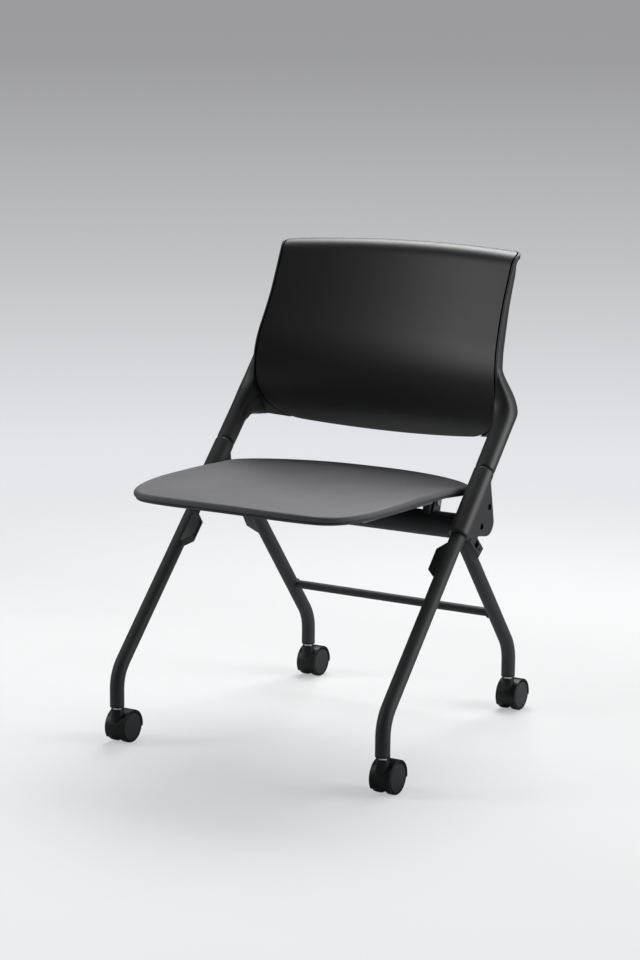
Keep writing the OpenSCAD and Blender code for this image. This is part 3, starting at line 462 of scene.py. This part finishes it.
def shell_low(t):
    half = WIDE_LOW / 2 + LIP
    return SHELL_RISE * t * t - SHELL_DROP + corner_rise(abs(t) * half, half, SHELL_CORNER)


def panel_grid(g, n, columns=72, rows=64):
    grid = []
    for i in range(rows + 1):
        row = []
        for j in range(columns + 1):
            t = math.sin(math.pi / 2 * (2 * j / columns - 1))
            s = blend(panel_low(t, g), sheet_top(t, g), i / rows)
            row.append(back_at(t * (half_at(s) + g), s, n))
        grid.append(row)
    return grid


def frame_depth(t, s):
    """Depth of the frame behind the panel's front face: a thin shell between deep rails."""
    thin = PANEL_T + WALL_GAP + WALL_T
    low_rail = max(thin, LOW_RAIL - (profile_at(s)[0] - CREST_Y if s < 0 else 0))
    rail = blend(low_rail, SIDE_RAIL, ease((s - LUMBAR_LEN) / STRAIGHT_LEN))
    side = ease((abs(t) - SIDE_FROM_SHARE) / SIDE_RISE_SHARE)
    top = ease((s - BACK_TOP + TOP_BAND) / TOP_RISE)
    taper = ease((s - ROLL_START + TAPER_LEAD) / (ROLL_LEN + TAPER_TAIL))
    return blend(blend(thin, rail, max(side, top)), TOP_RAIL, taper)


def rounding(d, r):
    """How far a rounded edge of radius r falls at the distance d from the edge."""
    return r - math.sqrt(max(0, r * r - (r - d) ** 2)) if d < r else 0


def shell_grid(rear, columns=84, rows=84):
    grid = []
    for i in range(rows + 1):
        row = []
        for j in range(columns + 1):
            t = math.sin(math.pi / 2 * (2 * j / columns - 1))
            share = math.sin(math.pi / 2 * i / rows)
            low_edge, top_edge = shell_low(t), sheet_top(t, LIP)
            s = blend(low_edge, top_edge, share)
            half = half_at(s) + LIP
            to_edge = min(half * (1 - abs(t)), top_edge - s)
            if rear:
                n = frame_depth(t, s) - rounding(min(to_edge, s - low_edge), REAR_ROUND)
            else:
                n = FRONT_SET + rounding(to_edge, FRONT_ROUND)
            row.append(back_at(t * half, s, n))
        grid.append(row)
    return grid


# The panel: a thin sheet with softened edges
panel = sheet_solid("panel", panel_grid(PANEL_SHRINK, 0), panel_grid(PANEL_SHRINK, PANEL_T))
modify(panel, "BEVEL", width=0.0012, segments=3, limit_method="ANGLE", angle_limit=math.radians(50))
smooth(panel, 30)
settle(panel, "back_panel_moulding", back_polypropylene, "chair", "back_plastic", "back_panel")


def arm_ring(centre, half, tilt, squareness, sides=48):
    """Ring round the right arm, from a circle at 1 towards a square as squareness falls."""
    ring = []
    for k in range(sides):
        a = 2 * math.pi * k / sides
        c, s = math.cos(a), math.sin(a)
        q = half[1] * math.copysign(abs(s) ** squareness, s)
        ring.append(Vector((centre[0] + half[0] * math.copysign(abs(c) ** squareness, c),
                            centre[1] + q * math.cos(tilt), centre[2] - q * math.sin(tilt))))
    return ring


ARM_X, KNEE_Z, FRONT_Y, FRONT_LEAN, SLEEVE_R = 264.5, 124.5, -265, math.radians(43.2), 17.5
# The hub's foot up the front leg, its length, and the gap between it and the arm
HUB_S, HUB_LEN, HUB_GAP = 359, 131.5, 0.6
# The height from which the arm turns into the rail, and the rise that its sides take for it
TURN_Z, TURN_RISE, OUTER_RISE = 562, 78, 94
# Share of the turn by which its parts start early or late, and how square the rail becomes
SHIFT_SHARE, RAIL_SQUARE = 0.3, 0.55
# The arm's front behind the panel's front, and the length that softens its bend up to there
ARM_SET, ARM_SOFT = 2, 20
# The arm's rear before the turn, and the rail's depth, its reach inside the panel's edge and its
# distance from the shell's outer edge
ARM_REAR_Y, RAIL_REACH, RAIL_IN, RAIL_OUT_GAP = 176, 23, 12, 0.5
# The heights of the arm's sections
ARM_FOOT_Z, ARM_STEP, ARM_RINGS = 519, 4.5, 33


def arm_at(z):
    """The arm's section at the height z, on its way from a round bar to the back's rail."""
    axis = (z - KNEE_Z) * math.tan(FRONT_LEAN) + FRONT_Y
    reach = SLEEVE_R / math.cos(FRONT_LEAN)
    s = z - CREST_Z
    edge, half, way = profile_at(s)[0], half_at(s), (z - TURN_Z) / TURN_RISE
    fall = axis - reach - edge - ARM_SET
    y1 = edge + ARM_SET + (fall - math.sqrt(fall * fall + ARM_SOFT * ARM_SOFT)) / 2
    y2 = min(axis + reach, blend(ARM_REAR_Y, edge + RAIL_REACH, ease(way - SHIFT_SHARE)))
    x1 = blend(ARM_X - SLEEVE_R, half - RAIL_IN, ease(way + SHIFT_SHARE))
    x2 = blend(ARM_X + SLEEVE_R, half + LIP - RAIL_OUT_GAP, ease((z - TURN_Z) / OUTER_RISE))
    return arm_ring(((x1 + x2) / 2, (y1 + y2) / 2, z), ((x2 - x1) / 2, (y2 - y1) / 2), 0,
                    blend(1, RAIL_SQUARE, ease(way + SHIFT_SHARE)))


# The frame: the shell behind the panel, with the panel's seat cut out and the arms grown on
back_frame = sheet_solid("frame", shell_grid(False), shell_grid(True))
START = HUB_S + HUB_LEN + HUB_GAP
start = (ARM_X, FRONT_Y + START * math.sin(FRONT_LEAN), KNEE_Z + START * math.cos(FRONT_LEAN))


def on_leg(s, t):
    """The place in Y and Z at s up the front leg and t behind its axis."""
    return Vector((FRONT_Y + s * math.sin(FRONT_LEAN) + t * math.cos(FRONT_LEAN),
                   KNEE_Z + s * math.cos(FRONT_LEAN) - t * math.sin(FRONT_LEAN)))


# The web between an arm and the shell: its places up the arm, how far behind the arm's axis it
# starts, and its fillet
GUSSET_FOOT, GUSSET_ROOT, GUSSET_END, GUSSET_SKIN, FILLET = 542, 564, 581, 14, 20
# Its two sides: place across, and the free corner and the top in Y and Z
GUSSET_IN, GUSSET_IN_TAIL, GUSSET_IN_TOP = 247.5, Vector((182, 520.5)), Vector((160, 562))
GUSSET_OUT, GUSSET_OUT_TAIL, GUSSET_OUT_TOP = 262, Vector((158, 523)), Vector((156, 562))
# How far its inner side draws in towards the chair's middle, from which Y and over what length
DRAW_IN, DRAW_FROM, DRAW_LEN = 8, 135, 40


def gusset_edge(tail, top):
    """Outline of the web between an arm and the shell, hollowed to a round below."""
    foot, root = on_leg(GUSSET_FOOT, GUSSET_SKIN), on_leg(GUSSET_ROOT, GUSSET_SKIN)
    a, b = (foot - root).normalized(), (tail - root).normalized()
    half = a.angle(b) / 2
    middle = root + (a + b).normalized() * FILLET / math.sin(half)
    feet = [root + v * FILLET / math.tan(half) for v in (a, b)]
    turns = [(feet[0] - middle).lerp(feet[1] - middle, k / 8).normalized() * FILLET
             for k in range(9)]
    return ([on_leg(GUSSET_FOOT, 0)] + [middle + v for v in turns]
            + [tail, top, on_leg(GUSSET_END, 0)])


def prism(name, low, high):
    """Solid between two outlines of as many places each, in millimetres."""
    count = len(low)
    sides = [(k, (k + 1) % count, (k + 1) % count + count, k + count) for k in range(count)]
    mesh = bpy.data.meshes.new(name)
    mesh.from_pydata([Vector(p) * MM for p in low + high], [],
                     sides + [range(count), range(count, 2 * count)])
    obj = bpy.data.objects.new(name, mesh)
    bpy.context.scene.collection.objects.link(obj)
    tidy_normals(obj)
    return obj


def meld(obj, other, grain, passes):
    """Joins the other to obj and lets them flow into one another, as in a mould."""
    hold(obj)
    other.select_set(True)
    bpy.ops.object.join()
    modify(obj, "REMESH", mode="VOXEL", voxel_size=grain * MM)
    modify(obj, "SMOOTH", factor=0.5, iterations=passes)


for side in (1, -1):
    rings = [arm_ring(start, (SLEEVE_R, SLEEVE_R), FRONT_LEAN, 1)]
    rings += [arm_at(ARM_FOOT_Z + ARM_STEP * k) for k in range(ARM_RINGS)]
    arm = loft("arm", [[Vector((side * p[0], p[1], p[2])) for p in ring] for ring in rings])
    inner = [(side * (GUSSET_IN - DRAW_IN * ease((v[0] - DRAW_FROM) / DRAW_LEN)), *v)
             for v in gusset_edge(GUSSET_IN_TAIL, GUSSET_IN_TOP)]
    outer = [(side * GUSSET_OUT, *v) for v in gusset_edge(GUSSET_OUT_TAIL, GUSSET_OUT_TOP)]
    meld(arm, prism("web", inner, outer), grain=2.2, passes=16)
    combine(back_frame, arm, "UNION")
# How far the cut for the panel goes in front of its face and behind its back
CUT_FRONT, CUT_BEHIND = -70, 3
combine(back_frame, sheet_solid("panel_seat", panel_grid(PANEL_GAP, CUT_FRONT),
                                panel_grid(PANEL_GAP, PANEL_T + CUT_BEHIND)), "DIFFERENCE")
smooth(back_frame, 32)
settle(back_frame, "back_frame_moulding", frame_nylon, "chair", "frame_plastic", "back_frame")


# The hubs

def bar_along(name, radius, start, end, sides=64):
    """A round bar between two places in millimetres."""
    a, b = Vector(start) * MM, Vector(end) * MM
    deselect()
    bpy.ops.mesh.primitive_cylinder_add(vertices=sides, radius=radius * MM, depth=(b - a).length,
                                        location=(a + b) / 2)
    obj = bpy.context.object
    obj.name = name
    obj.rotation_euler = (b - a).to_track_quat("Z", "Y").to_euler()
    bpy.ops.object.transform_apply(location=True, rotation=True, scale=True)
    return obj


def leg_place(x, s):
    """The place at x across and s up the axis of the front leg."""
    return (x, *on_leg(s, 0))


# What the melding takes off the sleeve, half the web's thickness, the bore, and how far cuts overrun
HUB_SKIN, HUB_HALF, BORE_R, OVERRUN = 0.2, SLEEVE_R + 0.5, 12.6, 9
# The web's corners and its screws, each up the leg and behind its axis
WEB_LOW, WEB_TIP, WEB_HIGH, WEB_R = (0.6, 0), (57.3, 86.3), (119.5, 0), 23
SCREW_T, SCREW_S, RECESS_R, RECESS_DEEP = 31, (41.3, 81.4), 5.8, 6
# The screw in its recess: its end's depth, the room round its head, its height, and its socket
SCREW_DEEP, HEAD_ROOM, HEAD_H, SOCKET_R, SOCKET_FLOOR, SOCKET_OVER = 9, 0.9, 2.2, 2.9, 0.4, 4


def hub_outline():
    """The web's triangle with its rounded tip, in Y and Z."""
    low, tip, high = Vector(WEB_LOW), Vector(WEB_TIP), Vector(WEB_HIGH)
    a, b = (low - tip).normalized(), (high - tip).normalized()
    half = a.angle(b) / 2
    middle = tip + (a + b).normalized() * WEB_R / math.sin(half)
    feet = [tip + v * WEB_R / math.tan(half) - middle for v in (a, b)]
    arc = [middle + feet[0].slerp(feet[1], k / 16) * WEB_R for k in range(17)]
    return [on_leg(HUB_S + p[0], p[1]) for p in [low] + arc + [high]]


for side, name in ((1, "right"), (-1, "left")):
    x = side * ARM_X
    hub = bar_along("hub", SLEEVE_R + HUB_SKIN, leg_place(x, HUB_S),
                    leg_place(x, HUB_S + HUB_LEN))
    web = prism("web", [(x - HUB_HALF, *v) for v in hub_outline()],
                [(x + HUB_HALF, *v) for v in hub_outline()])
    meld(hub, web, grain=1.5, passes=9)
    combine(hub, bar_along("bore", BORE_R, leg_place(x, HUB_S - OVERRUN),
                           leg_place(x, HUB_S + HUB_LEN + OVERRUN)), "DIFFERENCE")
    face = x + side * HUB_HALF
    for s in SCREW_S:
        y, z = on_leg(HUB_S + s, SCREW_T)
        combine(hub, bar_along("recess", RECESS_R, (face - side * RECESS_DEEP, y, z),
                               (face + side * OVERRUN, y, z)), "DIFFERENCE")
        # Socket-headed screw at the bottom of its recess
        screw = bar_along("screw", RECESS_R - HEAD_ROOM, (face - side * SCREW_DEEP, y, z),
                          (face - side * (RECESS_DEEP - HEAD_H), y, z))
        combine(screw, bar_along("socket", SOCKET_R,
                                 (face - side * (RECESS_DEEP - SOCKET_FLOOR), y, z),
                                 (face + side * SOCKET_OVER, y, z), 6), "DIFFERENCE")
        modify(screw, "BEVEL", width=0.0005, segments=2, limit_method="ANGLE")
        smooth(screw, 30)
        settle(screw, "hub_screw_%s_%d" % (name, s), black_oxide, "chair", "screw_metal",
               "hub_screws")
    smooth(hub, 32)
    settle(hub, "hub_moulding_" + name, frame_nylon, "chair", "frame_plastic", "hub_" + name)


# Castor wheels

def turned(name, profile, centre, sides=72):
    """Body turned about an axis along X, from a closed profile of radius and place along X."""
    mesh = bpy.data.meshes.new(name)
    count = len(profile)
    points = [Vector((centre[0] + x, centre[1], centre[2] + r)) * MM for r, x in profile]
    mesh.from_pydata(points, [(k, (k + 1) % count) for k in range(count)], [])
    obj = bpy.data.objects.new(name, mesh)
    bpy.context.scene.collection.objects.link(obj)
    hold(obj)
    bpy.ops.object.mode_set(mode="EDIT")
    bpy.ops.mesh.select_all(action="SELECT")
    bpy.ops.mesh.spin(steps=sides, angle=math.tau, center=Vector(centre) * MM, axis=(1, 0, 0))
    bpy.ops.object.mode_set(mode="OBJECT")
    tidy_normals(obj)
    return obj


REAR_X, REAR_Y = 213.5, 281
# Where each castor swivels, across and along
CASTORS = {"fl": (-ARM_X, FRONT_Y), "fr": (ARM_X, FRONT_Y),
           "rl": (-REAR_X, REAR_Y), "rr": (REAR_X, REAR_Y)}
WHEEL_R, TRAIL = 28, 19
# Half of a twin wheel: tread, the groove round its disc, and the bore for the axle, each point by
# its radius and its distance from the castor's middle
WHEEL = [(10.3, 3.3), (23, 3.3), (25.6, 4.2), (27.3, 6), (28, 8.6), (28, 15.8), (27.8, 17.6),
         (27.2, 18.6), (26.5, 18.8), (26.2, 18.4), (26.2, 14.4), (24.2, 14.4), (24.2, 18.2),
         (23.7, 18.7), (10, 18.8), (3.05, 18.85), (3.05, 16.1), (3.05, 6.8), (10.3, 6.8)]
CAP_R, CAP_IN, CAP_OUT = 5, 16.2, 18.9
for corner, (x, y) in CASTORS.items():
    for side, name in ((1, "right"), (-1, "left")):
        centre = (x, y + TRAIL, WHEEL_R)
        wheel = turned("wheel", [(r, side * out) for r, out in WHEEL], centre)
        # The disc's cap over the end of the axle
        cap = bar_along("cap", CAP_R, (x + side * CAP_IN, y + TRAIL, WHEEL_R),
                        (x + side * CAP_OUT, y + TRAIL, WHEEL_R), 48)
        combine(wheel, cap, "UNION")
        smooth(wheel, 28)
        settle(wheel, "wheel_moulding_%s_%s" % (corner, name), wheel_nylon,
               "roller_%s_%s" % (corner, name), "wheel_plastic", "wheel_%s_%s" % (corner, name))


# Softened edges of the mouldings and welded parts

BODY = {node: body for body, nodes in frame["record"]["behaviour"]["bodies"].items()
        for node in nodes}
# Edge radius of each kind of piece, in millimetres
EDGES = {"front_bumper": 1.2, "rear_bumper": 1.2, "hood": 0.5, "mount_plate": 0.8, "carrier": 0.9,
         "hinge_ears": 0.7}
for node, source in sorted(frame["nodes"].items()):
    kind = next((k for k in EDGES if node.startswith(k)), None)
    if kind is None:
        continue
    soft = bpy.data.objects.new(node + "_part", source.data.copy())
    bpy.context.scene.collection.objects.link(soft)
    tidy_normals(soft)
    hold(soft)
    bpy.ops.object.mode_set(mode="EDIT")
    bpy.ops.mesh.select_all(action="SELECT")
    bpy.ops.mesh.dissolve_limited(angle_limit=math.radians(1))
    bpy.ops.object.mode_set(mode="OBJECT")
    modify(soft, "BEVEL", width=EDGES[kind] * MM, segments=3, limit_method="ANGLE",
           angle_limit=math.radians(35))
    smooth(soft, 30)
    settle(soft, node + "_part", LOOKS[SLOTS[node]], BODY[node], SLOTS[node], node)


# Weld beads

REAR_LEAN, REAR_KNEE = math.radians(38.8), 120.8
BAR_Z, BAR_D = 195.8, 15.5
# The bead's place inside the leg's axis, its room round the bar, its radius, sides and ripples
BEAD_IN, BEAD_ROOM, BEAD_R, BEAD_SIDES, RIPPLE_SHARE, RIPPLE_TURN = 11.2, 0.7, 1.8, 12, 0.035, 2.2


def weld_bead(name, centre, axis, ring, bead):
    """A rippled bead of weld round a joint."""
    deselect()
    bpy.ops.mesh.primitive_torus_add(location=Vector(centre) * MM, major_radius=ring * MM,
                                     minor_radius=bead * MM, major_segments=72,
                                     minor_segments=BEAD_SIDES)
    obj = bpy.context.object
    obj.rotation_euler = Vector(axis).to_track_quat("Z", "Y").to_euler()
    bpy.ops.object.transform_apply(location=True, rotation=True, scale=True)
    middle = Vector(centre) * MM
    for k, v in enumerate(obj.data.vertices):
        v.co = middle + (v.co - middle) * (1 + RIPPLE_SHARE * math.sin(k // BEAD_SIDES * RIPPLE_TURN))
    smooth(obj, 60)
    settle(obj, name, powder_coat, "chair", "frame_metal")


bar_y = REAR_Y - (BAR_Z - REAR_KNEE) * math.tan(REAR_LEAN)
for side, name in ((1, "right"), (-1, "left")):
    weld_bead("weld_bead_bar_" + name, (side * (REAR_X - BEAD_IN), bar_y, BAR_Z), (1, 0, 0),
              BAR_D / 2 + BEAD_ROOM, BEAD_R)


# The seat

SEAT_W, SEAT_DEPTH, SEAT_REAR, SEAT_Z, DISH = 484, 483, 153, 466.6, 12
# The upper moulding's thickness at its rim and in its middle, the lower one's, the seam and the
# groove between them, the height of the flat underside, and the share in which it eases up
SHELL_T, MIDDLE_T, UNDER_T, SEAM, GROOVE, PAD_Z, FLAT_RISE_SHARE = 8.5, 5, 5, 0.3, 1, 441, 0.14
# The rim's height: its slope and arch from front to rear, and its fall towards the sides
RIM_SLOPE, RIM_ARCH, RIM_FALL = 4.4, 10.2, 6.1
# The raised bead round the top and the rounding outside it
RIM_BEAD, RIM_ROUND = 0.5, 5.5
# Half of the seat's outline, from the rear middle to the front middle: across, along
OUTLINE = [(0, 0), (0.32, 0.003), (0.6, 0.034), (0.8, 0.08), (0.91, 0.12), (0.975, 0.16),
           (1, 0.215), (0.99, 0.26), (0.973, 0.33), (0.977, 0.43), (0.972, 0.55), (0.975, 0.655),
           (0.963, 0.745), (0.94, 0.815), (0.91, 0.865), (0.865, 0.913), (0.8, 0.95),
           (0.7, 0.976), (0.5, 0.993), (0.25, 0.999), (0, 1)]


def smooth_half(points, steps):
    """A curve through the points of a half outline that is square to the middle line."""
    whole = [(-points[1][0], points[1][1])] + points + [(-points[-2][0], points[-2][1])]
    curve = []
    for a, b, c, d in zip(whole, whole[1:], whole[2:], whole[3:]):
        for k in range(steps):
            h = k / steps
            curve.append(tuple((2 * b[i] + (c[i] - a[i]) * h
                                + (2 * a[i] - 5 * b[i] + 4 * c[i] - d[i]) * h * h
                                + (3 * b[i] - a[i] - 3 * c[i] + d[i]) * h ** 3) / 2
                               for i in (0, 1)))
    return curve


half_loop = smooth_half(OUTLINE, 4) + [(0, 1)]
SEAT_LOOP = half_loop + [(-x, y) for x, y in half_loop[-2:0:-1]]


def rim_z(u, v):
    q = 1 - 2 * v
    return SEAT_Z - RIM_SLOPE * q - RIM_ARCH * q * q - RIM_FALL * u * u


def seat_ring(f, down):
    """Ring at share f of the way to the outline, down below the seat's top surface."""
    ring = []
    for across, along in SEAT_LOOP:
        u, v = across * f, 0.5 + (along - 0.5) * f
        ring.append(Vector((u * SEAT_W / 2, SEAT_REAR - v * SEAT_DEPTH,
                            rim_z(u, v) - DISH * (1 - f * f) ** 2 - down)))
    return ring


def inset(d):
    """Share of the way to the outline at which a ring lies d inside it."""
    return 1 - d / (SEAT_W / 2)


def under_ring(f, down):
    """Ring on the flat underside, eased up to the rim outside the flat."""
    flat = ease((1 - f) / FLAT_RISE_SHARE)
    return [Vector((p[0], p[1], blend(p[2], PAD_Z, flat))) for p in seat_ring(f, down)]


def edge_rings(radius, steps, drop):
    """Rings down a rounded edge, from drop below the top surface to the outline."""
    turns = [math.radians(90 * k / steps) for k in range(steps + 1)]
    return [seat_ring(inset(radius * (1 - math.sin(a))), drop + radius * (1 - math.cos(a)))
            for a in turns]


DISH_SHARES = [0.05, 0.15, 0.27, 0.39, 0.5, 0.6, 0.69, 0.77, 0.84, 0.89, 0.93, 0.96]
seat_top = loft("seat_top", [seat_ring(f, 0) for f in DISH_SHARES[:-1]]
                + [seat_ring(inset(11), 0), seat_ring(inset(8.5), -0.35)]
                + edge_rings(RIM_ROUND, 8, -RIM_BEAD)
                + [seat_ring(1, SHELL_T - 0.8), seat_ring(inset(0.25), SHELL_T - 0.25),
                   seat_ring(inset(0.8), SHELL_T)]
                + [seat_ring(f, blend(MIDDLE_T, SHELL_T, f)) for f in DISH_SHARES[::-1]])
smooth(seat_top, 40)
settle(seat_top, "seat_top_moulding", seat_polypropylene, "seat", "seat_plastic", "seat_shell")

RIM_LOW = SHELL_T + GROOVE + UNDER_T
seat_under = loft("seat_under", [seat_ring(f, blend(MIDDLE_T, SHELL_T, f) + SEAM)
                                 for f in DISH_SHARES]
                  + [seat_ring(inset(4), SHELL_T + SEAM), seat_ring(inset(4), SHELL_T + GROOVE),
                     seat_ring(inset(3.6), SHELL_T + 1.1), seat_ring(inset(3), SHELL_T + 1.7),
                     seat_ring(inset(3), RIM_LOW - UNDER_T / 3),
                     under_ring(inset(3.5), RIM_LOW - 0.6), under_ring(inset(5.5), RIM_LOW)]
                  + [under_ring(f, RIM_LOW) for f in DISH_SHARES[::-1]])
smooth(seat_under, 40)
settle(seat_under, "seat_under_moulding", under_polypropylene, "seat", "under_plastic",
       "seat_under_shell")
